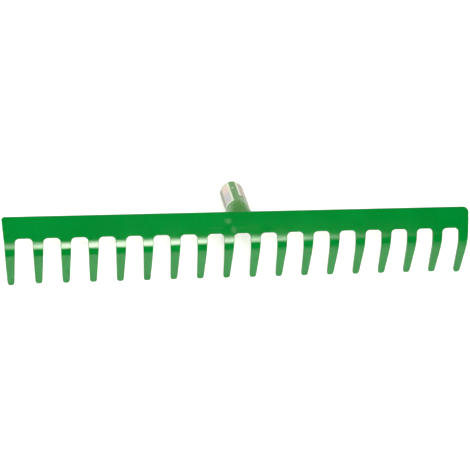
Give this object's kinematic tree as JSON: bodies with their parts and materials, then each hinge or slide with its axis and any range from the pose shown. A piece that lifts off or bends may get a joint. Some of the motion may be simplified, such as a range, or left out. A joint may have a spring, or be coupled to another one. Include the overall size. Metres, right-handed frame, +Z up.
{
  "type": "garden rake head",
  "caption": "Garden rake head: a stamped steel comb with backswept tapered teeth and a welded tube socket for a wooden handle.",
  "frame": {"origin": "middle of the object's footprint, on the surface that it rests on", "axes": "+X along the strip, +Y from the comb towards the socket's mouth, +Z up; the head lies as it rests on a table, on the tips of its two end teeth, which are a little longer, and the lower rim of the socket's mouth"},
  "size_m": [0.4904, 0.1088, 0.0617],
  "materials": {
    "comb_enamel": "glossy green enamel on stamped sheet steel",
    "socket_enamel": "thinner green enamel on rolled sheet steel",
    "weld_enamel": "green enamel over rippled weld metal",
    "label_paper": "printed paper with a thin coat of varnish, pale panels and no lettering"
  },
  "bodies": {
    "root": {"tine_bar": "comb_enamel", "handle_socket": "socket_enamel", "socket_weld_left": "weld_enamel", "socket_weld_right": "weld_enamel", "socket_label": "label_paper"}
  },
  "joints": []
}
